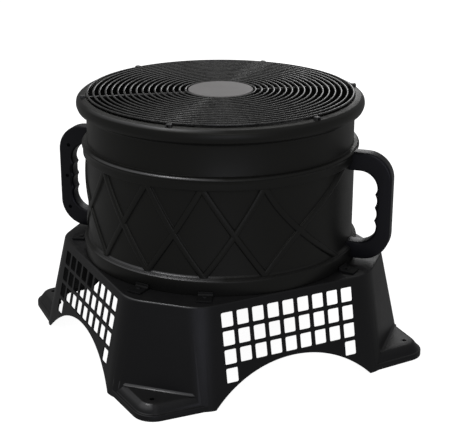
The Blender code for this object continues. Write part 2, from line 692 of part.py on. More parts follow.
def make_gland(material):
    """A cable gland that points outwards, with a blind bore in its nose."""
    nose = GLAND_SHAPE[-1][1]
    outline = GLAND_SHAPE[:-1] + [(GLAND_BORE, nose), (GLAND_BORE, nose - GLAND_BORE_DEPTH),
                                  (0.0, nose - GLAND_BORE_DEPTH)]
    shape = turned(outline, 12, True)
    out = heading(GLAND_BEARING)
    place = out * GLAND_FACE + Vector((0.0, 0.0, GLAND_HEIGHT))
    turn = out.to_track_quat("Z", "Y").to_matrix().to_4x4()
    return add_object("cable_gland", *moved(shape, Matrix.Translation(place) @ turn), material)


def main():
    clear_scene()
    finish = {name: make_material(name) for name in COLOURS}
    make_base(finish["black_plastic"])
    make_drum(finish["black_plastic"])
    clearance = drum_clearance("drum_clearance")
    for name, bearing in HANDLE_BEARINGS.items():
        make_handle(name, bearing, finish["handle_plastic"], clearance)
    make_grille(finish["wire"])
    for i in range(SPOKE_COUNT):
        make_clip("clip_" + str(i + 1), SPOKE_BEARING + 360 / SPOKE_COUNT * i, finish["clip_steel"])
    make_cross(finish["bracket_steel"])
    make_motor(finish["motor_paint"])
    make_fan(finish["fan_plastic"])
    count = 0
    for corner in (-135.0, -45.0, 45.0, 135.0):
        for spread in (-TAB_SPREAD, TAB_SPREAD):
            count += 1
            make_tab("bracket_" + str(count), corner + spread, finish["bracket_steel"])
    make_gland(finish["black_plastic"])


main()
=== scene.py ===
import math

import bmesh
import bpy
import numpy as np
from mathutils import Matrix, Vector


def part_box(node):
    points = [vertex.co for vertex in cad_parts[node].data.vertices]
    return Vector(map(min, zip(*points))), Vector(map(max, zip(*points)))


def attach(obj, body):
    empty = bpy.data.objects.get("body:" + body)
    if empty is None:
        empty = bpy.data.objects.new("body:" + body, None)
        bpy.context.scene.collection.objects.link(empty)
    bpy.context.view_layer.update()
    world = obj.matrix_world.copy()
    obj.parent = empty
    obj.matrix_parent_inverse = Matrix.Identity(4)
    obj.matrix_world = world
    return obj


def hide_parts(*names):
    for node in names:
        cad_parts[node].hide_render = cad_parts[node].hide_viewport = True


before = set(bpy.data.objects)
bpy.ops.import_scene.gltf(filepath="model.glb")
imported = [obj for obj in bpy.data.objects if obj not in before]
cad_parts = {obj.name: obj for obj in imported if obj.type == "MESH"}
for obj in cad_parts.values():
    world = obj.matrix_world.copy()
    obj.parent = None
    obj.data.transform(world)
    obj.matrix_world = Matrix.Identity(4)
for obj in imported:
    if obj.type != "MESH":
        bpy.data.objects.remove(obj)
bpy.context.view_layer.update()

# Looks of a blower for an air dancer: black moulded drum and base, wire grille, two handles.
# Metres, +Z up. A bearing is in degrees from -Y (the front) towards +X.

still = "blower"          # the body that stands
turning = "fan_wheel"     # the body that spins


# Shader sums: a Signal wraps a socket, and an expression on it adds Math nodes.
class Signal:
    def __init__(self, finish, socket):
        self.finish = finish
        self.socket = socket

    def calc(self, operation, first, second):
        return self.finish.node("ShaderNodeMath", {"operation": operation}, {0: first, 1: second})

    def __add__(self, other):
        return self.calc("ADD", self, other)

    def __radd__(self, other):
        return self.calc("ADD", other, self)

    def __sub__(self, other):
        return self.calc("SUBTRACT", self, other)

    def __rsub__(self, other):
        return self.calc("SUBTRACT", other, self)

    def __mul__(self, other):
        return self.calc("MULTIPLY", self, other)

    def __rmul__(self, other):
        return self.calc("MULTIPLY", other, self)

    def __pow__(self, other):
        return self.calc("POWER", self, other)


# One material: its shader, and the nodes that feed it.
class Finish:
    def __init__(self, name):
        self.material = bpy.data.materials.new(name)
        self.material.use_nodes = True
        self.tree = self.material.node_tree
        self.shader = self.tree.nodes["Principled BSDF"]

    def feed(self, socket, value):
        # a Signal is linked, anything else is set
        if isinstance(value, Signal):
            self.tree.links.new(value.socket, socket)
        else:
            socket.default_value = value

    def node(self, kind, settings=None, values=None, output=0):
        # any node: its settings first, then the values or links of its sockets
        made = self.tree.nodes.new(kind)
        for key, value in (settings or {}).items():
            if key == "stops":
                ramp = made.color_ramp.elements
                while len(ramp) < len(value):
                    ramp.new(0.5)
                for element, (place, shade) in zip(ramp, value):
                    element.position = place
                    element.color = (shade, shade, shade, 1.0)
            else:
                setattr(made, key, value)
        for key, value in (values or {}).items():
            self.feed(made.inputs[key], value)
        return Signal(self, made.outputs[output])

    def set(self, **values):
        for key, value in values.items():
            self.feed(self.shader.inputs[key.replace("_", " ")], value)

    def place(self):
        # Object coordinates, in metres
        return self.node("ShaderNodeTexCoord", output=3)

    def part(self, vector, axis):
        # one of a vector's three numbers
        return self.node("ShaderNodeSeparateXYZ", {}, {0: vector}, output=axis)

    def noise(self, size, detail=2.0, rough=0.5):
        # clouds of about this size in metres, from 0 to 1
        return self.node("ShaderNodeTexNoise", {"noise_dimensions": "3D"},
                         {"Vector": self.place(), "Scale": 1.0 / size, "Detail": detail, "Roughness": rough})

    def ramp(self, value, stops):
        # straight lines through the stops (value, share)
        return self.node("ShaderNodeValToRGB", {"stops": stops}, {"Fac": value})

    def blend(self, share, first, second):
        # colour mix: the share of the second colour
        return self.node("ShaderNodeMix", {"data_type": "RGBA"}, {0: share, 6: first, 7: second}, output=2)

    def bump(self, height, depth):
        # normals tilted by a height from 0 to 1 that stands for this depth in metres
        return self.node("ShaderNodeBump", {}, {"Height": height, "Distance": depth, "Strength": 1.0})


def scaled(colour, share):
    # the colour times a share, opaque
    return (*(value * share for value in colour), 1.0)


mouldLook = {        # shared by every moulded plastic piece
    "slowCloud": 0.110, "smallCloud": 0.018, "darkest": 0.85, "palest": 1.2,
    "roughSlow": 0.10, "roughCloud": 0.06,
    "dustColour": (0.16, 0.155, 0.15, 1.0), "dust": 0.06, "dustRough": 0.10,
    "dustZone": [(0.42, 0.0), (0.95, 1.0)],              # share of dust, by how far a face looks up
    "feetZone": [(0.50, 1.0), (0.62, 0.0)],              # share of the extra pale colour on the feet, by height times 20
    # painted highlight on edges: a pale metallic colour, and less roughness, where slanted edges face the
    # front left
    "highlightColour": (0.26, 0.26, 0.265, 1.0), "highlightCover": 0.9, "highlightMetal": 0.85, "highlightSmooth": 0.10,
    "highlightFacing": (-0.848, -0.530),                      # x and y of the way that edges with a painted highlight look
    "highlightTurn": [(0.83, 0.02), (0.985, 1.0)],            # share of painted highlight, by the cosine to that way
    "highlightSlant": [(0.28, 0.0), (0.42, 1.0), (0.90, 1.0), (0.97, 0.0)],      # and by the normal's height
    # painted shade on faces that look inwards or down: a nearly black colour and more roughness
    "insideShadeColour": (0.0010, 0.0010, 0.0010, 1.0), "insideRough": 0.5,
    "inwardZone": [(0.54, 0.0), (0.62, 1.0)], "insideZone": [(0.5, 0.0), (0.8, 1.0)],
}
# The edge zone: where edges get a painted highlight, as (twice the height in metres, share). The share for
# the feet: more of the pale colour on up-facing faces low on the feet. The inside share: how much painted
# shade the faces inside get.
plasticLook = {
    "base": {
        "colour": (0.0096, 0.0096, 0.0103), "sheen": (0.98, 0.98, 1.0, 1.0), "rough": 0.40, "specular": 0.36,
        "grain": 0.0007, "grainDepth": 0.00005, "feetPaler": 0.05, "insideShade": 1.0,
        "highlightZone": [(0.0165, 0.0), (0.0175, 0.7), (0.0200, 0.7), (0.0208, 0.0),      # rim of the feet
                     (0.030, 0.1), (0.040, 1.0), (0.057, 1.0), (0.058, 0.0),          # top edge of the feet
                     (0.315, 0.0), (0.3165, 0.9)],                                    # edge of the shelf
    },
    "drum": {
        "colour": (0.0100, 0.0100, 0.0096), "sheen": (1.0, 1.0, 0.93, 1.0), "rough": 0.40, "specular": 0.36,
        "grain": 0.0007, "grainDepth": 0.00005,
        "highlightZone": [(0.360, 0.0), (0.363, 1.0), (0.383, 1.0), (0.386, 0.0),          # beads at the foot
                     (0.700, 0.0), (0.703, 1.0), (0.7095, 1.0), (0.711, 0.0),         # ledge
                     (0.858, 0.0), (0.861, 1.0), (0.8645, 1.0), (0.867, 0.0)],        # ridge of the lip
    },
    "handle": {
        "colour": (0.0084, 0.0084, 0.0105), "sheen": (0.92, 0.92, 1.0, 1.0), "rough": 0.36, "specular": 0.36,
        "grain": 0.0006, "grainDepth": 0.00004,
    },
    "fan": {
        "colour": (0.018, 0.018, 0.019), "rough": 0.50, "specular": 0.30,
        "grain": 0.0009, "grainDepth": 0.00004,
    },
    "gland": {
        "colour": (0.010, 0.010, 0.010), "rough": 0.55, "specular": 0.30,
        "grain": 0.0009, "grainDepth": 0.00004,
    },
}


def mouldedPlastic(name):
    # Black plastic from a spark-eroded mould: fine grain, slow changes of sheen, a little dust on top faces
    # and more of the pale colour low on the feet, a painted highlight on slanted edges that face the front
    # left, and painted shade, nearly black, on faces that look inwards or down.
    look, shared = plasticLook[name], mouldLook
    finish = Finish(name + "Plastic")
    slow = finish.noise(shared["slowCloud"], 3.0)
    cloud = finish.noise(shared["smallCloud"], 2.0)
    grain = finish.noise(look["grain"], 1.0)
    normal = finish.node("ShaderNodeNewGeometry", output=1)
    toX, toY, up = (finish.part(normal, axis) for axis in range(3))
    placeX, placeY, height = (finish.part(finish.place(), axis) for axis in range(3))
    # up-facing faces low on the feet get more of the pale colour
    low = finish.ramp(height * 20.0, shared["feetZone"]) * look.get("feetPaler", 0.0)
    dust = finish.ramp(up * (0.55 + 0.45 * cloud), shared["dustZone"])
    # painted highlight on edges: pale, metallic and smoother where slanted faces look one way, to the front
    # left, at the heights of the edge zone
    slanted = finish.ramp(up, shared["highlightSlant"])
    level = (toX * toX + toY * toY + 0.0004) ** -0.5      # makes the level part of the normal one long
    wayX, wayY = shared["highlightFacing"]
    wearAndHighlight = finish.ramp(level * (wayX * toX + wayY * toY), shared["highlightTurn"])
    edge = slanted * wearAndHighlight * finish.ramp(height * 2.0, look.get("highlightZone", [(0.0, 0.0), (1.0, 0.0)]))
    # painted shade: faces that look inwards (normal against place) or down are nearly black and dull
    inward = finish.ramp(0.5 - 4.0 * (toX * placeX + toY * placeY), shared["inwardZone"])
    inside = finish.ramp(inward - up, shared["insideZone"]) * look.get("insideShade", 0.0)
    dark, pale = scaled(look["colour"], shared["darkest"]), scaled(look["colour"], shared["palest"])
    shade = finish.blend(slow, dark, pale)
    shade = finish.blend((shared["dust"] + low) * dust, shade, shared["dustColour"])
    # painted shade: nearly black on faces inside
    shade = finish.blend(inside, shade, shared["insideShadeColour"])
    # the pale metallic colour and lower roughness on edges are a painted highlight
    finish.set(
        Base_Color=finish.blend(shared["highlightCover"] * edge, shade, shared["highlightColour"]),
        Metallic=shared["highlightMetal"] * edge,
        Roughness=(look["rough"] + shared["roughSlow"] * (slow - 0.5) + shared["roughCloud"] * (cloud - 0.5)
                   + shared["dustRough"] * dust - shared["highlightSmooth"] * edge
                   + shared["insideRough"] * inside),
        Specular_IOR_Level=look["specular"],
        Specular_Tint=look.get("sheen", (1.0, 1.0, 1.0, 1.0)),
        Normal=finish.bump(grain, look["grainDepth"]))
    return finish.material


wireLook = {
    "dark": (0.008, 0.008, 0.008, 1.0), "pale": (0.055, 0.055, 0.052, 1.0), "patch": 0.010,
    "patches": [(0.36, 0.0), (0.66, 1.0)], "rough": 0.15, "roughPatch": 0.20, "specular": 0.90,
    "fine": 0.0011, "fineDepth": 0.00005,
}


def paintedWire():
    # Glossy dark coating on wire: patches of a darker, smoother and a paler, rougher coat.
    look = wireLook
    finish = Finish("paintedWire")
    cloud = finish.ramp(finish.noise(look["patch"], 3.0, 0.6), look["patches"])
    finish.set(
        Base_Color=finish.blend(cloud, look["dark"], look["pale"]),
        Roughness=look["rough"] + look["roughPatch"] * cloud,
        Specular_IOR_Level=look["specular"],
        Normal=finish.bump(finish.noise(look["fine"], 1.0), look["fineDepth"]))
    return finish.material


discLook = {
    "dark": (0.315, 0.303, 0.303, 1.0), "pale": (0.375, 0.361, 0.361, 1.0), "cloud": 0.030,
    "marks": 180.0, "waver": 0.6, "rough": 0.52, "roughMarks": 0.08, "markDepth": 0.00003,
}


def mattDisc():
    # Pale grey matt disc in the middle of the grille, with faint turning marks: rings of a wave about Z.
    look = discLook
    finish = Finish("mattDisc")
    cloud = finish.noise(look["cloud"], 3.0)
    marks = finish.node("ShaderNodeTexWave", {"wave_type": "RINGS", "rings_direction": "Z"},
                        {"Vector": finish.place(), "Scale": look["marks"], "Distortion": look["waver"],
                         "Detail": 1.0})
    finish.set(
        Base_Color=finish.blend(cloud, look["dark"], look["pale"]),
        Roughness=look["rough"] + look["roughMarks"] * marks,
        Normal=finish.bump(marks, look["markDepth"]))
    return finish.material


steelShared = {
    "cloud": 0.010, "darkest": 0.8, "palest": 1.3, "scuff": 0.0035, "scuffs": [(0.60, 0.0), (0.74, 1.0)],
    "bare": (0.20, 0.20, 0.20, 1.0), "metal": 0.15, "roughCloud": 0.10, "fine": 0.0012, "fineDepth": 0.00005,
}
steelLook = {
    "clipSteel": {"colour": (0.05, 0.05, 0.05), "rough": 0.40, "wearAndHighlight": 0.35},
    # the brackets' near-black colour is partly their black paint and partly painted shade, for the shade they
    # sit in at the drum's foot
    "bracketSteel": {"colour": (0.004, 0.004, 0.0045), "rough": 0.60, "wearAndHighlight": 0.05},
    "motorPaint": {"colour": (0.045, 0.046, 0.048), "rough": 0.45, "wearAndHighlight": 0.35},
}


def blackSteel(name):
    # Thin black or grey paint on steel, scuffed to bare metal where a fine noise is high.
    look, shared = steelLook[name], steelShared
    finish = Finish(name)
    cloud = finish.noise(shared["cloud"], 3.0)
    wearAndHighlight = look["wearAndHighlight"] * finish.ramp(finish.noise(shared["scuff"], 3.0, 0.7), shared["scuffs"])
    dark, pale = scaled(look["colour"], shared["darkest"]), scaled(look["colour"], shared["palest"])
    finish.set(
        Base_Color=finish.blend(wearAndHighlight, finish.blend(cloud, dark, pale), shared["bare"]),
        Metallic=shared["metal"] + wearAndHighlight,
        Roughness=look["rough"] + shared["roughCloud"] * cloud,
        Normal=finish.bump(finish.noise(shared["fine"], 1.0), shared["fineDepth"]))
    return finish.material


def gridFaces(rows, columns, joinRows=False, joinColumns=False):
    # Quads between neighbours of a grid of points, joined round where asked.
    i = np.arange(rows if joinRows else rows - 1)
    j = np.arange(columns if joinColumns else columns - 1)
    a, b = (v.ravel() for v in np.meshgrid(i, j, indexing="ij"))
    c, d = (a + 1) % rows, (b + 1) % columns
    return np.stack([a * columns + b, a * columns + d, c * columns + d, c * columns + b], axis=-1)


def addObject(name, data):
    # A new object in the scene.
    made = bpy.data.objects.new(name, data)
    bpy.context.scene.collection.objects.link(made)
    return made


def smoothBut(mesh, degrees):
    # Smooth shading but for edges that bend by more than this.
    mesh.shade_smooth()
    mesh.set_sharp_from_angle(angle=math.radians(degrees))


def addPiece(name, points, quads, caps=(), finish=None, sharp=35.0, weld=0.0):
    # A mesh object from points and faces, with its faces turned outwards and smooth but for sharp edges.
    mesh = bpy.data.meshes.new(name)
    faces = np.asarray(quads).tolist() + [list(cap) for cap in caps]
    mesh.from_pydata(np.asarray(points).reshape(-1, 3).tolist(), [], faces)
    shaped = bmesh.new()
    shaped.from_mesh(mesh)
    if weld:
        bmesh.ops.remove_doubles(shaped, verts=shaped.verts[:], dist=weld)
    bmesh.ops.recalc_face_normals(shaped, faces=shaped.faces[:])
    shaped.to_mesh(mesh)
    shaped.free()
    if finish:
        mesh.materials.append(finish)
    smoothBut(mesh, sharp)
    return addObject(name, mesh)


def spunFaces(rows, columns):
    # Quads and two end caps of a stack of closed rings.
    last = (rows - 1) * columns
    caps = [list(range(columns)), list(range(last, last + columns))]
    return gridFaces(rows, columns, joinColumns=True), caps


def addLoft(name, rings, **more):
    # Closed body through rings of equal counts, shape (rings, points, 3), with a flat cap at each end.
    rings = np.asarray(rings)
    return addPiece(name, rings, *spunFaces(*rings.shape[:2]), **more)


def manyLofts(stacks):
    # Several lofts of one shape as one grid: array (bodies, rings, points, 3). Returns points, quads, caps.
    bodies, rows, columns = stacks.shape[:3]
    quads, caps = spunFaces(rows, columns)
    shift = (np.arange(bodies) * rows * columns)[:, None, None]
    return (stacks.reshape(-1, 3), (quads[None] + shift).reshape(-1, 4),
            (np.array(caps)[None] + shift).reshape(-1, columns))


def softCorners(corners, steps=4, closed=True):
    # Each corner (x, y, reach) becomes a parabola from reach before it to reach after it.
    given = np.asarray(corners, float)
    spot, reach = given[:, :2], given[:, 2:3]
    before = np.roll(spot, 1, axis=0) - spot
    after = np.roll(spot, -1, axis=0) - spot
    enter = spot + before / np.linalg.norm(before, axis=1, keepdims=True) * reach
    leave = spot + after / np.linalg.norm(after, axis=1, keepdims=True) * reach
    t = np.linspace(0.0, 1.0, steps)[None, :, None]
    curve = (1 - t) ** 2 * enter[:, None] + 2 * t * (1 - t) * spot[:, None] + t ** 2 * leave[:, None]
    if not closed:
        curve[0], curve[-1] = spot[0], spot[-1]
    return curve.reshape(-1, 2)


def fullTurn(steps):
    # Angles of equal steps once round.
    return np.linspace(0.0, 2 * np.pi, steps, endpoint=False)


def spun(radius, height, angle):
    # Points (r cos a, r sin a, z) of an outline turned round Z.
    return np.stack(np.broadcast_arrays(radius * np.cos(angle), radius * np.sin(angle), height), axis=-1)


def turned(name, corners, turns, steps=4, **more):
    # A closed outline of (radius, height, reach) turned round Z.
    line = softCorners(corners, steps)
    points = spun(line[:, :1], line[:, 1:], fullTurn(turns))
    return addPiece(name, points, gridFaces(len(line), turns, True, True), weld=0.00001, **more)


def turnedSolid(corners, turns, steps=4):
    # Points, quads and caps of an open outline turned round Z, flat at both ends on the axis side.
    line = softCorners(corners, steps, closed=False)
    points = spun(line[:, :1], line[:, 1:], fullTurn(turns))
    return (points.reshape(-1, 3), *spunFaces(len(line), turns))


def standing(bearing, radial, tangent, height):
    # Distances out, along the wall and up, set at a bearing b: (r sin b + t cos b, t sin b - r cos b, h).
    angle = np.radians(bearing)
    x = radial * np.sin(angle) + tangent * np.cos(angle)
    y = tangent * np.sin(angle) - radial * np.cos(angle)
    return np.stack(np.broadcast_arrays(x, y, height), axis=-1)


def facing(place, ahead):
    # Matrix of a camera or lamp at a place, looking ahead with its top up.
    return Matrix.Translation(place) @ Vector(ahead).to_track_quat("-Z", "Y").to_matrix().to_4x4()


def joinShapes(shapes):
    # One set of points, quads and caps from several.
    points, quads, caps, start = [], [], [], 0
    for somePoints, someQuads, someCaps in shapes:
        somePoints = np.asarray(somePoints).reshape(-1, 3)
        points.append(somePoints)
        quads.append(np.asarray(someQuads) + start)
        caps += [[int(v) + start for v in cap] for cap in someCaps]
        start += len(somePoints)
    return np.concatenate(points), np.concatenate(quads), caps


def carve(piece, tool, operation="DIFFERENCE"):
    # Joins or cuts by a second mesh, which goes away.
    step = piece.modifiers.new(operation.lower(), "BOOLEAN")
    step.operation = operation
    step.object = tool
    step.solver = "EXACT"
    bpy.context.view_layer.update()
    view = bpy.context.evaluated_depsgraph_get()
    old = piece.data
    piece.data = bpy.data.meshes.new_from_object(piece.evaluated_get(view))
    piece.data.name = old.name
    piece.modifiers.clear()
    bpy.data.meshes.remove(old)
    bpy.data.objects.remove(tool, do_unlink=True)


def roundEdges(piece, width, segments, limit=40.0):
    # A bevel on every edge that bends by more than the limit.
    step = piece.modifiers.new("roundedEdges", "BEVEL")
    step.width = width
    step.segments = segments
    step.limit_method = "ANGLE"
    step.angle_limit = math.radians(limit)
    step.use_clamp_overlap = True
    step.harden_normals = False


def dress(piece, body, slot, *nodes):
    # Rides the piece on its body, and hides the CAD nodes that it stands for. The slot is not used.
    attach(piece, body)
    if nodes:
        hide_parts(*nodes)
    return piece


baseSizes = {
    "halfAtFloor": 0.2729, "sideLean": 0.215, "cornerAtFloor": 0.3073, "cornerLean": 0.188,
    "cornerRound": 0.050, "roundGrowth": 0.090, "wall": 0.0024, "topEdge": 0.0022, "edgeRound": 0.0006,
    "shelfHole": 0.216, "shelfTurns": 128, "below": -0.005,      # below: where tools that cut start
    "holeWide": 0.0206, "holeHigh": 0.0236, "holeRound": 0.0026,
    "pitchAcross": 0.02707, "pitchDown": 0.02918, "topRow": 0.1365, "rows": 4, "sideColumns": 4,
    "archRadius": 0.199, "archRise": 0.0596, "archReach": 0.150, "archSteps": 61,
    "footSide": 0.2703, "footSideAt": 0.140, "footTaper": 0.064, "footTop": 0.024, "footRound": 0.035,
    "footInner": 0.100,
    # a low rim, a groove behind it, then a slope with a rolled top edge: (drawn in, height)
    "footOutside": [(0.0, 0.0), (0.0, 0.0084), (0.0006, 0.0095), (0.0016, 0.0099), (0.0034, 0.0101),
                    (0.0042, 0.0108), (0.0052, 0.0132), (0.0108, 0.0208), (0.0122, 0.0224), (0.0140, 0.0235),
                    (0.0162, 0.0240)],
    "footInside": [(0.0024, -0.005), (0.0024, 0.0070), (0.0072, 0.0095), (0.0150, 0.0216)],
    "boltPlace": 0.234, "boltRadius": 0.0040, "boltTurns": 24, "boltReach": 0.040,
    "boss": 0.014, "bossTurns": 32,
}


def quarterTurns(x, y, z):
    # Rows of an outline, each with its three copies turned by 90 degrees round Z: (rows, 4, points, 3).
    x, y, z = (v[..., None, :] for v in (x, y, z))
    return standing(90.0 * np.arange(4)[:, None], -y, x, z)


def baseRing(height, inset, steps=9):
    # Outline of the base at each height: flat sides at a leaning distance, cut corners, arcs between them.
    s = baseSizes
    height, inset = (np.asarray(v, float)[:, None] for v in (height, inset))
    half = s["halfAtFloor"] - s["sideLean"] * height - inset
    corner = s["cornerAtFloor"] - s["cornerLean"] * height - inset
    radius = s["cornerRound"] + s["roundGrowth"] * height - inset
    run = corner * math.sqrt(2) - half - radius * math.tan(math.radians(22.5))
    first = np.radians(np.linspace(0.0, 45.0, steps))[None, :]
    second = first + np.pi / 4
    x = np.concatenate([half - radius + radius * np.cos(first), run + radius * np.cos(second)], axis=1)
    y = np.concatenate([run + radius * np.sin(first), half - radius + radius * np.sin(second)], axis=1)
    return quarterTurns(x, y, height).reshape(len(height), -1, 3)


def footRings(profile, inner, steps=9):
    # Four feet: two sides that close in towards a rounded tip, drawn in by each (inset, height).
    s = baseSizes
    inset, height = (np.asarray(v, float)[:, None] for v in zip(*profile))
    lean = math.atan(s["footTaper"])
    radius = s["footRound"] - inset
    # the side's distance at the inner end, and the place where both sides would meet
    start = s["footSide"] + s["footTaper"] * (s["footSideAt"] - inner) - inset / math.cos(lean)
    tip = (start + s["footTaper"] * inner) / (1 + s["footTaper"])
    centre = tip - radius / (math.cos(lean) * (1 + s["footTaper"]))
    angle = np.linspace(lean, np.pi / 2 - lean, steps)[None, :]
    fixed = inner + 0 * start
    x = np.concatenate([fixed, start, centre + radius * np.cos(angle), fixed], axis=1)
    y = np.concatenate([fixed, fixed, centre + radius * np.sin(angle), start], axis=1)
    return np.moveaxis(quarterTurns(x, y, height), 1, 0)


def roundedBars(places, depths, swap):
    # Bars with rounded corners through both opposite sides, one for each (across, height) place.
    s = baseSizes
    corners = np.array([(-1, -1, 1), (1, -1, 1), (1, 1, 1), (-1, 1, 1)])
    line = softCorners(corners * (s["holeWide"] / 2, s["holeHigh"] / 2, s["holeRound"]))
    across = places[:, 0, None, None] + line[None, None, :, 0]
    height = places[:, 1, None, None] + line[None, None, :, 1]
    across, height, depth = np.broadcast_arrays(across, height, np.array(depths)[None, :, None])
    return manyLofts(np.stack([depth, across, height] if swap else [across, depth, height], axis=-1))


def ventPlaces():
    # The grid's (across, height) places: full rows, and in the last row only the outermost columns.
    s = baseSizes
    columns = np.arange(-s["sideColumns"], s["sideColumns"] + 1)
    row, column = np.meshgrid(np.arange(s["rows"]), columns, indexing="ij")
    kept = (row < s["rows"] - 1) | (np.abs(column) == s["sideColumns"])
    return np.stack([column[kept] * s["pitchAcross"], s["topRow"] - row[kept] * s["pitchDown"]], axis=-1)


def archLofts(far):
    # The room under a circle's crest, as rings at both depths: from front to back, and from left to right.
    s = baseSizes
    reach, below = s["archReach"], 2 * s["below"]
    across = np.linspace(reach, -reach, s["archSteps"])
    crest = s["archRise"] - s["archRadius"] + np.sqrt(s["archRadius"] ** 2 - across ** 2)
    across = np.concatenate([[-reach, reach], across])
    crest = np.concatenate([[below, below], crest])
    across, depth, crest = np.broadcast_arrays(across, [[-far], [far]], crest)
    return np.stack([across, depth, crest], axis=-1), np.stack([depth, across, crest], axis=-1)


def makeBase(finish):
    # A loft of base outlines with a quarter-round top edge, joined with the feet, hollowed, then cut.
    s = baseSizes
    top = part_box("base")[1].z
    edge, wall, below = s["topEdge"], s["wall"], s["below"]
    turn = np.linspace(0.0, np.pi / 2, 6)
    heights = np.concatenate([[0.0], top - edge + edge * np.sin(turn)])
    insets = np.concatenate([[0.0], edge * (1 - np.cos(turn))])
    base = addLoft("baseShell", baseRing(heights, insets), finish=finish)
    carve(base, addPiece("feetOutside", *manyLofts(footRings(s["footOutside"], s["footInner"]))), "UNION")
    carve(base, addLoft("baseRoom", baseRing([below, top - wall], [wall, wall])))
    carve(base, addPiece("feetRoom", *manyLofts(footRings(s["footInside"], s["footInner"] + 0.010))))
    post = turnedSolid([(s["boss"], 0.0, 0.0), (s["boss"], s["footTop"] - 0.002, 0.0)], s["bossTurns"], 2)
    bolt = [(s["boltRadius"], below, 0.0), (s["boltRadius"], s["boltReach"], 0.0)]
    hole = turnedSolid(bolt, s["boltTurns"], 2)
    corners = s["boltPlace"] * np.array([(1, -1, 0), (1, 1, 0), (-1, 1, 0), (-1, -1, 0)])
    bosses, holes = ([(solid[0] + corner, *solid[1:]) for corner in corners] for solid in (post, hole))
    carve(base, addPiece("bosses", *joinShapes(bosses)), "UNION")
    carve(base, addPiece("boltHoles", *joinShapes(holes)))
    far = s["halfAtFloor"] + 0.020                 # past both sides
    frontBack, leftRight = archLofts(far)
    carve(base, addLoft("archesFrontBack", frontBack))
    carve(base, addLoft("archesLeftRight", leftRight))
    for swap in (False, True):
        carve(base, addPiece("ventBars", *roundedBars(ventPlaces(), (-far, far), swap)))
    opening = [(s["shelfHole"], top - 0.020, 0.0), (s["shelfHole"], top + 0.010, 0.0)]
    carve(base, addPiece("shelfHole", *turnedSolid(opening, s["shelfTurns"], 2)))
    smoothBut(base.data, 30.0)
    roundEdges(base, s["edgeRound"], 2)
    return dress(base, still, "base_plastic", "base")


filletSizes = {
    "size": 0.0042, "longer": 0.006, "behind": 0.0015, "under": 0.0010, "lift": 0.0002,
    "endAt": 0.94, "endSize": 0.15, "bearings": (45.0, 135.0, -135.0, -45.0),
}


def makeFootFillets(finish):
    # A hollow corner strip where each cut corner meets its foot: a quarter cove carried along the seam.
    s, f = baseSizes, filletSizes
    top = s["footTop"]
    corner = s["cornerAtFloor"] - s["cornerLean"] * top
    half = s["halfAtFloor"] - s["sideLean"] * top
    reach = (s["cornerRound"] + s["roundGrowth"] * top) * math.tan(math.radians(22.5))
    length = math.sqrt(2) * half - corner - reach + f["longer"]
    size, behind, angle = f["size"], f["behind"], np.linspace(0.0, np.pi / 2, 7)
    out = np.concatenate([[-behind, size], size * (1 - np.sin(angle))[1:-1], [0.0, -behind]])
    rise = np.concatenate([[-f["under"], f["lift"]], size * (1 - np.cos(angle))[1:-1], [size, size]])
    share = np.array([-1.0, -f["endAt"], f["endAt"], 1.0])[:, None]
    shrink = np.array([f["endSize"], 1.0, 1.0, f["endSize"]])[:, None]
    radial = corner - s["cornerLean"] * rise * shrink + out * shrink
    strips = standing(np.array(f["bearings"])[:, None, None], radial, share * length, top + rise * shrink)
    return dress(addPiece("footFillets", *manyLofts(strips), finish=finish), still, "base_plastic")


drumSizes = {
    "bore": 0.2210, "skirt": 0.2345, "field": 0.2270, "fieldBottom": 0.1925, "fieldTop": 0.3325,
    "band": 0.2326, "ledge": 0.2342, "ledgeTop": 0.3551, "neck": 0.2250, "neckTop": 0.4050,
    "lipEdge": 0.2383, "lip": 0.2413, "turns": 240,
    # each point: (radius, height, reach of the soft corner)
    "footBeads": [(0.2352, 0.1848, 0.0012), (0.2348, 0.1864, 0.0009), (0.2326, 0.1874, 0.0006),
                  (0.2322, 0.1880, 0.0003), (0.2329, 0.1888, 0.0005), (0.2290, 0.1901, 0.0010)],
    "bandRim": [(0.2312, 0.3337, 0.0008), (0.2312, 0.3352, 0.0004)],
    "bandBottom": 0.3356, "bandTop": 0.3475, "ledgeBottom": 0.3500, "lipBottom": 0.4108, "lipMiddle": 0.4180,
    "lipShoulder": 0.4268,
    # here the height is above the CAD's top
    "lipRidge": [(0.2350, 0.0002, 0.0014), (0.2262, 0.0022, 0.0012), (0.2230, 0.0011, 0.0012)],
}


def makeDrum(finish):
    # The drum's wall, turned round Z from an outline of (radius, height, corner reach).
    s = drumSizes
    foot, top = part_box("drum")[0].z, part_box("drum")[1].z
    outline = [
        (s["skirt"], foot, 0.0006),
        *s["footBeads"],
        (s["field"], s["fieldBottom"], 0.0010),
        (s["field"], s["fieldTop"], 0.0007),
        *s["bandRim"],
        (s["band"], s["bandBottom"], 0.0006),
        (s["band"], s["bandTop"], 0.0030),
        (s["ledge"], s["ledgeBottom"], 0.0012),
        (s["ledge"], s["ledgeTop"] - 0.0030, 0.0012),
        (s["ledge"] - 0.0026, s["ledgeTop"] - 0.0003, 0.0012),
        (s["neck"] + 0.0030, s["ledgeTop"], 0.0010),
        (s["neck"], s["ledgeTop"] + 0.0006, 0.0006),
        (s["neck"], s["neckTop"], 0.0030),
        (s["lipEdge"] - 0.0030, s["lipBottom"], 0.0020),
        (s["lipEdge"], s["lipBottom"] + 0.0007, 0.0007),
        (s["lip"], s["lipMiddle"], 0.0035),
        (s["lip"] - 0.0009, s["lipShoulder"], 0.0028),
        *((radius, top + above, reach) for radius, above, reach in s["lipRidge"]),
        (s["bore"], top - 0.0080, 0.0030),
        (s["bore"], foot, 0.0006),
    ]
    drum = turned("drumShell", outline, s["turns"], finish=finish, sharp=50.0)
    return dress(drum, still, "drum_plastic", "drum")


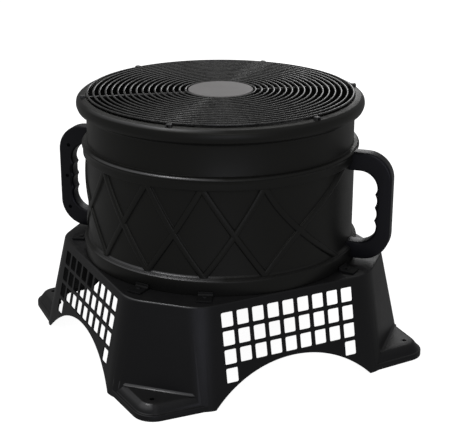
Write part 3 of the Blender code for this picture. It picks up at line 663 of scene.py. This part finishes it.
ribSizes = {
    "root": 0.2262, "rise": 0.0042, "wide": 0.0098, "edge": 0.0013, "flare": 0.0012, "sunk": -0.0016,
    "crown": 0.0002, "top": 0.3370, "middle": 0.2600, "foot": 0.1900, "steps": 33, "lowerBy": 0.00025,
    # bearings at top, middle and foot of each rib, about the middle between the handles
    "inner": [(-36.0, -24.2, -12.0), (-11.5, 0.0, 12.0), (11.5, 24.2, 36.5)],
    "frontEnds": [(36.0, 51.0, 74.0), (-81.0, -53.0, -36.5)],
    "backEnds": [(36.0, 49.0, 62.0), (-62.0, -49.0, -36.5)],
}


def ribBearings(three, height):
    # The parabola of bearing against height through top, middle and foot, and its slope.
    s = ribSizes
    knots = np.array([s["top"], s["middle"], s["foot"]])
    fit = np.polyfit(knots, np.asarray(three, float).T, 2).T
    bearing = fit[:, :1] * height ** 2 + fit[:, 1:2] * height + fit[:, 2:3]
    return bearing, 2 * fit[:, :1] * height + fit[:, 1:2]


def ribSection():
    # Half across and height of a flat-topped rib with rolled edges and a small foot, and its mirror image.
    s = ribSizes
    half, rise, edge, flare = s["wide"] / 2, s["rise"], s["edge"], s["flare"]
    right = [(half + flare, s["sunk"]), (half + flare, 0.0008), (half + 0.0003, 0.0013),
             (half - 0.0002, rise - edge), (half - edge * 0.45, rise - edge * 0.35),
             (half - edge * 1.3, rise), (0.0, rise + s["crown"])]
    return np.array(right + [(-u, h) for u, h in right[:-1]][::-1])


def makeLattice(finish):
    # Crossing ribs: the section carried along each rib's curve on the drum, stretched by the curve's lean.
    s = ribSizes
    section, rise = ribSection(), s["rise"]
    height = np.linspace(s["top"], s["foot"], s["steps"])[None, :]
    stacks = []
    for side, ends in ((-45.0, s["frontEnds"]), (135.0, s["backEnds"])):
        for sign, sink in ((1.0, 0.0), (-1.0, s["lowerBy"])):
            bearing, slope = ribBearings(sign * np.array(s["inner"] + ends), height)
            radius = s["root"] - sink
            lean = np.radians(slope) * (radius + rise)
            stretch = np.sqrt(1 + lean ** 2)[:, :, None]
            turn = bearing[:, :, None] + np.degrees(section[:, 0] * stretch / (radius + rise)) + side
            stacks.append(standing(turn, radius + section[:, 1], 0.0, height[:, :, None]))
    ribs = addPiece("latticeRibs", *manyLofts(np.concatenate(stacks)), finish=finish, sharp=50.0)
    return dress(ribs, still, "drum_plastic")


handleSizes = {
    "wide": 0.0260, "edge": 0.0045, "outer": 0.2985, "top": 0.3530, "bottom": 0.1680, "topRound": 0.045,
    "bottomRound": 0.047, "root": 0.2240,
    "grip": 0.2745, "gripTop": 0.3215, "gripBottom": 0.1975, "gripRound": 0.030,
    "bumps": (0.2830, 0.2603, 0.2377), "pitch": 0.0225, "bumpDepth": 0.0034, "bumpShape": 1.15,
    "cornerSteps": 20, "gripCornerSteps": 14, "gripSteps": 90,
    "screws": [(0.2790, 0.3170), (0.2840, 0.2600), (0.2810, 0.2020)],      # (radius, height) of each pit
    "screwHole": 0.0034, "screwDepth": 0.006, "screwTurns": 20,
}


def arc(centre, radius, start, stop, steps):
    # (x + r cos a, y + r sin a) from one angle in degrees to another
    angle = np.radians(np.linspace(start, stop, steps))
    return np.stack([centre[0] + radius * np.cos(angle), centre[1] + radius * np.sin(angle)], axis=-1)


def handleOutline():
    # Radius and height round the handle. The grip is scalloped: it stands in by a power of 1 - sin of the
    # distance from the nearest bump.
    s = handleSizes
    outer, low, high, ease = s["outer"], s["bottomRound"], s["topRound"], s["gripRound"]
    lower = arc((outer - low, s["bottom"] + low), low, -90.0, 0.0, s["cornerSteps"])
    upper = arc((outer - high, s["top"] - high), high, 0.0, 90.0, s["cornerSteps"])
    inTop = arc((s["grip"] - ease, s["gripTop"] - ease), ease, 90.0, 0.0, s["gripCornerSteps"])
    inLow = arc((s["grip"] - ease, s["gripBottom"] + ease), ease, 0.0, -90.0, s["gripCornerSteps"])
    z = np.linspace(inTop[-1, 1], inLow[0, 1], s["gripSteps"])[1:-1]
    near = np.min(np.abs(z[:, None] - np.array(s["bumps"])[None, :]), axis=1)
    rise = np.clip(1 - np.sin(np.clip(near / s["pitch"], 0, 0.5) * np.pi), 0, 1) ** s["bumpShape"]
    scallops = np.stack([s["grip"] - s["bumpDepth"] * rise, z], axis=-1)
    bottom, top, gripTop, gripBottom = (
        [[s["root"], s[key]]] for key in ("bottom", "top", "gripTop", "gripBottom"))
    return np.concatenate([bottom, lower, upper, top, gripTop, inTop, scallops, inLow, gripBottom])


def makeHandle(name, node, bearing, finish):
    # A rounded slab: the outline, drawn in by 1 - cos of the edge's angle towards each flat side.
    s = handleSizes
    line = handleOutline()
    ahead = np.roll(line, -1, axis=0) - np.roll(line, 1, axis=0)
    ahead /= np.linalg.norm(ahead, axis=1, keepdims=True)
    inner = np.stack([-ahead[:, 1], ahead[:, 0]], axis=-1)      # the outline runs anticlockwise
    turn = np.radians(np.linspace(90.0, 0.0, 7))
    flat = s["wide"] / 2 - s["edge"]
    side, dip = flat + s["edge"] * np.sin(turn), s["edge"] * (1 - np.cos(turn))
    offsets, drawn = np.concatenate([-side, side[::-1]]), np.concatenate([dip, dip[::-1]])
    shape = line[None] + inner[None] * drawn[:, None, None]
    rings = standing(bearing, shape[..., 0], offsets[:, None], shape[..., 1])
    handle = addLoft(name, rings, finish=finish, sharp=40.0)
    pit = [(s["screwHole"], -s["screwDepth"], 0.0), (s["screwHole"], 0.004, 0.0)]
    points, *faces = turnedSolid(pit, s["screwTurns"], 2)
    x, y, z = points.T
    z = s["wide"] / 2 + z
    pits = [(standing(bearing, radius + x, z, height + y), *faces) for radius, height in s["screws"]]
    carve(handle, addPiece(name + "Pits", *joinShapes(pits)))
    smoothBut(handle.data, 40.0)
    return dress(handle, still, "handle_plastic", node)


grilleSizes = {
    "height": 0.4364, "wire": 0.00170, "rings": 17, "first": 0.0588, "pitch": 0.0102, "ringTurns": 144,
    "wireSides": 10, "disc": 0.0544, "discMiddle": 0.010, "discTurns": 96,
    "spokes": 6, "spokeBearing": -46.0, "spokeWire": 0.0022, "spokeStart": 0.020, "spokeEnd": 0.2315,
    "spokeSides": 12, "spokeDrop": 0.75, "spokeTip": 0.6,
}


def makeGrille(wireFinish, discFinish):
    # Rings on spokes round a flat disc.
    s = grilleSizes
    wire, turns, sides = s["wire"], s["ringTurns"], s["wireSides"]
    # ring wires: the circle of the wire's section carried round each ring
    turn, bearings = fullTurn(sides), 360.0 / turns * np.arange(turns)[:, None]
    radius = (s["first"] + s["pitch"] * np.arange(s["rings"]))[:, None, None] + wire * np.cos(turn)
    points = standing(bearings, radius, 0.0, s["height"] + wire * np.sin(turn))
    shift = np.arange(s["rings"])[:, None, None] * turns * sides
    quads = (gridFaces(turns, sides, True, True)[None] + shift).reshape(-1, 4)
    rings = addPiece("grilleRings", points, quads, finish=wireFinish, sharp=60.0)
    dress(rings, still, "wire", "grille")
    # spokes: straight rods under the rings, a circle of the rod's section at three places along the radius
    bearings = (s["spokeBearing"] + 360.0 / s["spokes"] * np.arange(s["spokes"]))[:, None, None]
    z = s["height"] - wire - s["spokeWire"] * s["spokeDrop"]
    turn = fullTurn(s["spokeSides"])
    across, rise = s["spokeWire"] * np.cos(turn), s["spokeWire"] * np.sin(turn)
    along = np.array([s["spokeStart"], s["spokeEnd"] - 0.001, s["spokeEnd"]])[:, None]
    shrink = np.array([1.0, 1.0, s["spokeTip"]])[:, None]
    rods = manyLofts(standing(bearings, along, across * shrink, z + rise * shrink))
    dress(addPiece("grilleSpokes", *rods, finish=wireFinish, sharp=60.0), still, "wire")
    # disc: a flat round plate with soft edges, its outline turned round Z
    top, bottom, middle, disc = s["height"] + wire, s["height"] - wire, s["discMiddle"], s["disc"]
    profile = [(middle, bottom, 0.0), (disc - 0.0010, bottom, 0.0005), (disc, bottom + 0.0008, 0.0004),
               (disc, top - 0.0010, 0.0006), (disc - 0.0012, top, 0.0008), (middle, top, 0.0)]
    plate = addPiece("grilleDisc", *turnedSolid(profile, s["discTurns"]), finish=discFinish, sharp=40.0)
    dress(plate, still, "wire")


clipSizes = {
    "wide": 0.0140, "deep": 0.0080, "place": 0.2300, "slot": 0.0054, "roof": 0.0018, "round": 0.0003,
    "sunk": 0.0024, "lower": 0.0016,                      # below the CAD clip's foot and top
    "flange": 0.0016, "flangeSlope": 0.0004, "flangeLong": 0.0022, "shoulder": 0.0016, "shoulderDrop": 0.0006,
}


def makeClip(number, bearing, finish):
    # A bridge over a spoke's end: its outline across, carried along the radius.
    s = clipSizes
    below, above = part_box("clip_" + str(number))
    foot, top = below.z - s["sunk"], above.z - s["lower"]
    half, gap, roof = s["wide"] / 2, s["slot"] / 2, top - s["roof"]
    right = [(gap, roof), (gap, foot), (half, foot), (half, foot + s["flange"]),
             (half - s["flangeLong"], foot + s["flange"] + s["flangeSlope"]),
             (gap + s["shoulder"], top - s["shoulderDrop"]), (gap, top)]
    line = np.array(right + [(-across, height) for across, height in right[::-1]])
    along = s["place"] + np.array([-0.5, 0.5])[:, None] * s["deep"]
    rings = standing(bearing, along, line[:, 0], line[:, 1])
    clip = addLoft("clipBody" + str(number), rings, finish=finish, sharp=30.0)
    roundEdges(clip, s["round"], 2, 30.0)
    return dress(clip, still, "clip_steel", "clip_" + str(number))


tabSizes = {
    "spread": 13.0, "wide": 0.0240, "long": 0.0260, "thick": 0.0030, "bend": 0.002, "high": 0.0080,
    "drum": 0.2355, "round": 0.0005, "screw": 0.0042, "screwTurns": 20, "screwPlace": 0.0085,
    # the screw's head: (share of its radius, height, reach of the soft corner)
    "dome": [(1.0, -0.0006, 0.0), (1.0, 0.0008, 0.0005), (0.75, 0.0020, 0.0008), (0.2, 0.0024, 0.0004),
             (0.095, 0.0024, 0.0)],
}


def makeTab(number, bearing, finish):
    # Angle bracket at the drum's foot: an L outline carried across its width, and a domed screw on its leaf.
    s = tabSizes
    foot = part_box("bracket_" + str(number))[0].z
    inner, outer, inside = s["drum"], s["drum"] + s["long"], s["drum"] + s["thick"]
    floor, top = foot + s["thick"], foot + s["high"]
    line = np.array([(inner, foot), (outer, foot), (outer, floor), (inside + s["bend"], floor),
                     (inside, floor + s["bend"]), (inside, top), (inner, top)])
    across = np.array([-0.5, 0.5])[:, None] * s["wide"]
    rings = standing(bearing, line[:, 0], across, line[:, 1])
    tab = addLoft("bracketBody" + str(number), rings, finish=finish, sharp=30.0)
    roundEdges(tab, s["round"], 2, 30.0)
    dress(tab, still, "bracket_steel", "bracket_" + str(number))
    dome = [(s["screw"] * share, height, reach) for share, height, reach in s["dome"]]
    points, quads, caps = turnedSolid(dome, s["screwTurns"])
    screw = standing(bearing, inside + s["screwPlace"] + points[:, 0], points[:, 1], floor + points[:, 2])
    piece = addPiece("bracketScrew" + str(number), screw, quads, caps, finish=finish, sharp=40.0)
    return dress(piece, still, "bracket_steel")


motorSizes = {
    "radius": 0.070, "fins": 40, "finDepth": 0.0022, "finSides": 8, "finSteps": 40,
    "finLow": 0.016, "finHigh": 0.036, "finEase": 0.004,      # from the foot and the top of the can
    "foot": 0.0300, "neck": 0.022, "nose": 0.020, "bore": 0.0086, "boreDepth": 0.016,
}


def makeMotor(finish):
    # The can, turned round Z: its radius falls by a narrow groove at each fin gap, on the upright part only.
    s = motorSizes
    low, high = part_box("motor")[0].z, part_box("motor")[1].z
    bottom = high - s["boreDepth"]
    side = s["radius"]
    line = softCorners([(s["foot"], low, 0.0), (side - 0.012, low, 0.002), (side, low + 0.010, 0.004),
                        (side, high - 0.030, 0.004), (side - 0.006, high - 0.014, 0.004),
                        (s["neck"], high - 0.006, 0.002), (s["nose"], high, 0.001), (s["bore"], high, 0.0004),
                        (s["bore"], bottom, 0.0002), (0.0010, bottom, 0.0)], 5, closed=False)
    # the upright part gets more rings, so that the grooves can fade out at both ends
    heights = np.linspace(low + 0.012, high - 0.032, s["finSteps"])
    extra = np.stack([np.full(s["finSteps"], side), heights], axis=-1)
    cut = int(np.argmax(line[:, 1] > low + 0.011))
    line = np.concatenate([line[:cut], extra, line[cut:][line[cut:, 1] > high - 0.0319]])
    radius, height = line[:, :1], line[:, 1:]
    upright = (np.clip((height - low - s["finLow"]) / s["finEase"], 0, 1)
               * np.clip((high - s["finHigh"] - height) / s["finEase"], 0, 1) * (radius > side - 0.001))
    turns = s["fins"] * s["finSides"]
    angle = fullTurn(turns)
    groove = np.clip(np.cos(angle * s["fins"]) * 2.0, 0, 1)
    points = spun(radius - s["finDepth"] * groove * upright, height, angle)
    motor = addPiece("motorBody", points, *spunFaces(len(line), turns), finish=finish, sharp=50.0)
    return dress(motor, still, "motor_paint", "motor")


fanSizes = {
    "blades": 7, "root": 0.052, "tip": 0.206, "middle": 0.3600, "thick": 0.0034, "camber": 0.0060,
    "chordRoot": 0.060, "chordTip": 0.098, "pitchRoot": 48.0, "pitchTip": 24.0,
    "bladeSteps": 25, "sectionSides": 28, "tipRoundFrom": 0.90, "tipRound": 0.13, "blunt": 0.6,
    "hub": 0.058, "hubBottom": 0.3300, "hubTop": 0.3850, "hubTurns": 96, "shaft": 0.008,
}


def makeFan(finish):
    # Blades on a hub with a shaft under it.
    s = fanSizes
    # blade: a cambered section wrapped round the axis; its chord grows and its pitch falls along the radius
    share = np.linspace(0.0, 1.0, s["bladeSteps"])[:, None]
    radius = s["root"] + (s["tip"] - s["root"]) * share
    chord = s["chordRoot"] + (s["chordTip"] - s["chordRoot"]) * share
    atTip = np.clip(share - s["tipRoundFrom"], 0, 1) / s["tipRound"]
    chord = chord * np.sqrt(np.clip(1 - atTip ** 2, 0.05, 1))
    pitch = np.radians(s["pitchRoot"] + (s["pitchTip"] - s["pitchRoot"]) * share)
    turn = fullTurn(s["sectionSides"])
    step = 0.5 * np.cos(turn)
    half = 0.5 * s["thick"] * np.sign(np.sin(turn)) * np.abs(np.sin(turn)) ** s["blunt"]
    arch = s["camber"] * (1 - 4 * step ** 2)
    around = chord * step * np.cos(pitch) - (arch + half) * np.sin(pitch)
    z = s["middle"] + chord * step * np.sin(pitch) + (arch + half) * np.cos(pitch)
    bearing = np.degrees(around / radius)
    turns = 360.0 / s["blades"] * np.arange(s["blades"])[:, None, None]
    blades = manyLofts(standing(bearing + turns, radius, 0.0, z))
    dress(addPiece("fanBlades", *blades, finish=finish, sharp=50.0), turning, "fan_plastic")
    # hub and shaft: one outline of (radius, height, corner reach) turned round Z
    low, bottom, top, hub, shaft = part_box("fan")[0].z, s["hubBottom"], s["hubTop"], s["hub"], s["shaft"]
    profile = [(shaft - 0.001, low, 0.0), (shaft, low + 0.001, 0.0004), (shaft, bottom, 0.001),
               (hub - 0.001, bottom, 0.001), (hub, bottom + 0.001, 0.001), (hub, top - 0.012, 0.006),
               (hub - 0.014, top - 0.001, 0.006), (0.016, top - 0.001, 0.001), (0.015, top + 0.002, 0.001),
               (0.002, top + 0.002, 0.0)]
    middle = addPiece("fanHub", *turnedSolid(profile, s["hubTurns"]), finish=finish, sharp=40.0)
    return dress(middle, turning, "fan_plastic", "fan")


glandSizes = {
    "bearing": 180.0, "height": 0.1745, "face": 0.2356, "long": 0.019, "bore": 0.0036, "boreDepth": 0.016,
    "flange": 0.0105, "flangeThick": 0.005, "nut": 0.0085, "nutFrom": 0.006, "nutTo": 0.014, "nutFlat": 0.97,
    "nose": 0.006, "turns": 48,
}


def makeGland(finish):
    # Gland: a flange, a six-sided nut and a tapered nose with a blind bore, turned round its own axis.
    # On the nut the radius is divided by the cosine of the angle from the middle of each flat.
    s = glandSizes
    end, bottom, ease = s["long"], s["long"] - s["boreDepth"], 0.0004
    line = softCorners([(0.0002, 0.0, 0.0), (s["flange"], 0.0, 0.0005),
                        (s["flange"], s["flangeThick"], 0.0006), (s["nut"], s["nutFrom"], 0.0004),
                        (s["nut"], s["nutTo"], 0.0005), (s["nose"], end, 0.0010), (s["bore"], end, 0.0003),
                        (s["bore"], bottom, 0.0002), (0.0002, bottom, 0.0)], closed=False)
    angle = fullTurn(s["turns"])
    radius, out = line[:, :1], line[:, 1:]
    six = 1 / np.cos((angle + np.pi / 6) % (np.pi / 3) - np.pi / 6)
    nut = (np.clip((out - s["nutFrom"] + ease / 2) / ease, 0, 1)
           * np.clip((s["nutTo"] + ease / 2 - out) / ease, 0, 1) * (radius > s["nose"] + 0.001))
    radius = radius * (1 + nut * (six * s["nutFlat"] - 1))
    across, rise = radius * np.cos(angle), radius * np.sin(angle)
    points = standing(s["bearing"], s["face"] + out, across, s["height"] + rise)
    gland = addPiece("glandBody", points, *spunFaces(len(line), s["turns"]), finish=finish, sharp=30.0)
    return dress(gland, still, "gland_plastic", "cable_gland")


viewSizes = {
    "lens": 94.40, "sensor": 36.0, "far": 50.0, "place": (-0.8708, -1.7673, 0.9227),
    "heading": 26.703, "down": 20.04, "roll": -0.11,
}


def makeCamera():
    # Looks along (sin h cos d, cos h cos d, -sin d) for heading h and down angle d, then rolls.
    s = viewSizes
    lens = bpy.data.cameras.new("camera")
    lens.sensor_width = s["sensor"]
    lens.sensor_fit = "HORIZONTAL"
    lens.lens = s["lens"]
    lens.clip_end = s["far"]
    camera = addObject("camera", lens)
    turn, down = math.radians(s["heading"]), math.radians(s["down"])
    ahead = Vector((math.sin(turn) * math.cos(down), math.cos(turn) * math.cos(down), -math.sin(down)))
    tilt = Matrix.Rotation(math.radians(-s["roll"]), 4, "Z")
    camera.matrix_world = facing(s["place"], ahead) @ tilt
    bpy.context.scene.camera = camera
    bpy.context.scene.view_settings.view_transform = "Standard"


lightAim = (0.0, 0.0, 0.25)
lightSizes = [
    {"name": "topBack", "place": (0.7, 1.4, 2.0), "size": (1.6, 1.2), "power": 7.5},
    {"name": "topLeft", "place": (-1.04, -0.05, 2.3), "size": (0.5, 0.5), "power": 5.0},
    {"name": "frontHigh", "place": (-0.7, -2.0, 2.2), "size": (1.4, 1.0), "power": 4.5},
    {"name": "frontLow", "place": (-0.9, -2.4, 0.5), "size": (1.4, 0.8), "power": 3.9,
     "colour": (0.93, 0.94, 1.12)},
    {"name": "rightRim", "place": (1.41, 1.69, 0.75), "size": (0.5, 1.2), "power": 4.6},
]


def makeLights():
    # Soft rectangles of light, all turned to the blower's middle.
    for s in lightSizes:
        lamp = bpy.data.lights.new(s["name"], "AREA")
        lamp.shape = "RECTANGLE"
        lamp.size, lamp.size_y = s["size"]
        lamp.energy = s["power"]
        lamp.color = s.get("colour", (1.0, 1.0, 1.0))
        light = addObject(s["name"], lamp)
        light.matrix_world = facing(s["place"], Vector(lightAim) - Vector(s["place"]))


roomSizes = {
    "floor": 8.0, "floorDown": 0.0005, "floorShade": 0.60, "floorRough": 0.9, "floorSpecular": 0.1,
    "floorGlow": 0.95, "skyToCamera": 1.0, "skyToObject": 0.20,
}


def makeRoom():
    # A pale glowing floor that lights nothing, and a white sky that lights the blower less than it shows.
    s = roomSizes
    corners = np.array([(-1, -1, -1), (1, -1, -1), (1, 1, -1), (-1, 1, -1)])
    corners = corners * (s["floor"] / 2, s["floor"] / 2, s["floorDown"])
    mesh = bpy.data.meshes.new("floor")
    mesh.from_pydata(corners.tolist(), [], [(0, 1, 2, 3)])
    floor = addObject("floor", mesh)
    finish = Finish("paleFloor")
    finish.set(Base_Color=scaled((1.0, 1.0, 1.0), s["floorShade"]), Roughness=s["floorRough"],
               Specular_IOR_Level=s["floorSpecular"], Emission_Color=(1.0, 1.0, 1.0, 1.0),
               Emission_Strength=s["floorGlow"])
    mesh.materials.append(finish.material)
    floor.visible_glossy = False
    floor.visible_diffuse = False
    world = bpy.data.worlds.new("paleRoom")
    world.use_nodes = True
    bpy.context.scene.world = world
    tree = world.node_tree
    sky = tree.nodes["Background"]
    path = tree.nodes.new("ShaderNodeLightPath")
    level = tree.nodes.new("ShaderNodeMapRange")
    level.inputs["To Min"].default_value = s["skyToObject"]
    level.inputs["To Max"].default_value = s["skyToCamera"]
    tree.links.new(path.outputs["Is Camera Ray"], level.inputs["Value"])
    tree.links.new(level.outputs["Result"], sky.inputs["Strength"])
    sky.inputs["Color"].default_value = (1.0, 1.0, 1.0, 1.0)


makeCamera()
makeLights()
makeRoom()
print("camera, lights and floor are set")

finishes = {name: mouldedPlastic(name) for name in plasticLook}
wireFinish = paintedWire()
discFinish = mattDisc()
steels = {name: blackSteel(name) for name in steelLook}
print("finishes are made")

makeBase(finishes["base"])
makeFootFillets(finishes["base"])
print("base is made")
makeDrum(finishes["drum"])
makeLattice(finishes["drum"])
print("drum is made")
makeHandle("handleRightBody", "handle_right", 45.0, finishes["handle"])
makeHandle("handleLeftBody", "handle_left", -135.0, finishes["handle"])
print("handles are made")
makeGrille(wireFinish, discFinish)
for number in range(grilleSizes["spokes"]):
    bearing = grilleSizes["spokeBearing"] + 360.0 / grilleSizes["spokes"] * number
    makeClip(number + 1, bearing, steels["clipSteel"])
print("grille and clips are made")
spread = tabSizes["spread"]
tabBearings = [corner + side for corner in (-135.0, -45.0, 45.0, 135.0) for side in (-spread, spread)]
for number, bearing in enumerate(tabBearings, 1):
    makeTab(number, bearing, steels["bracketSteel"])
makeMotor(steels["motorPaint"])
makeFan(finishes["fan"])
makeGland(finishes["gland"])
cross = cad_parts["motor_cross"]
cross.data.materials.clear()
cross.data.materials.append(steels["bracketSteel"])
print("brackets, motor, fan wheel and gland are made")
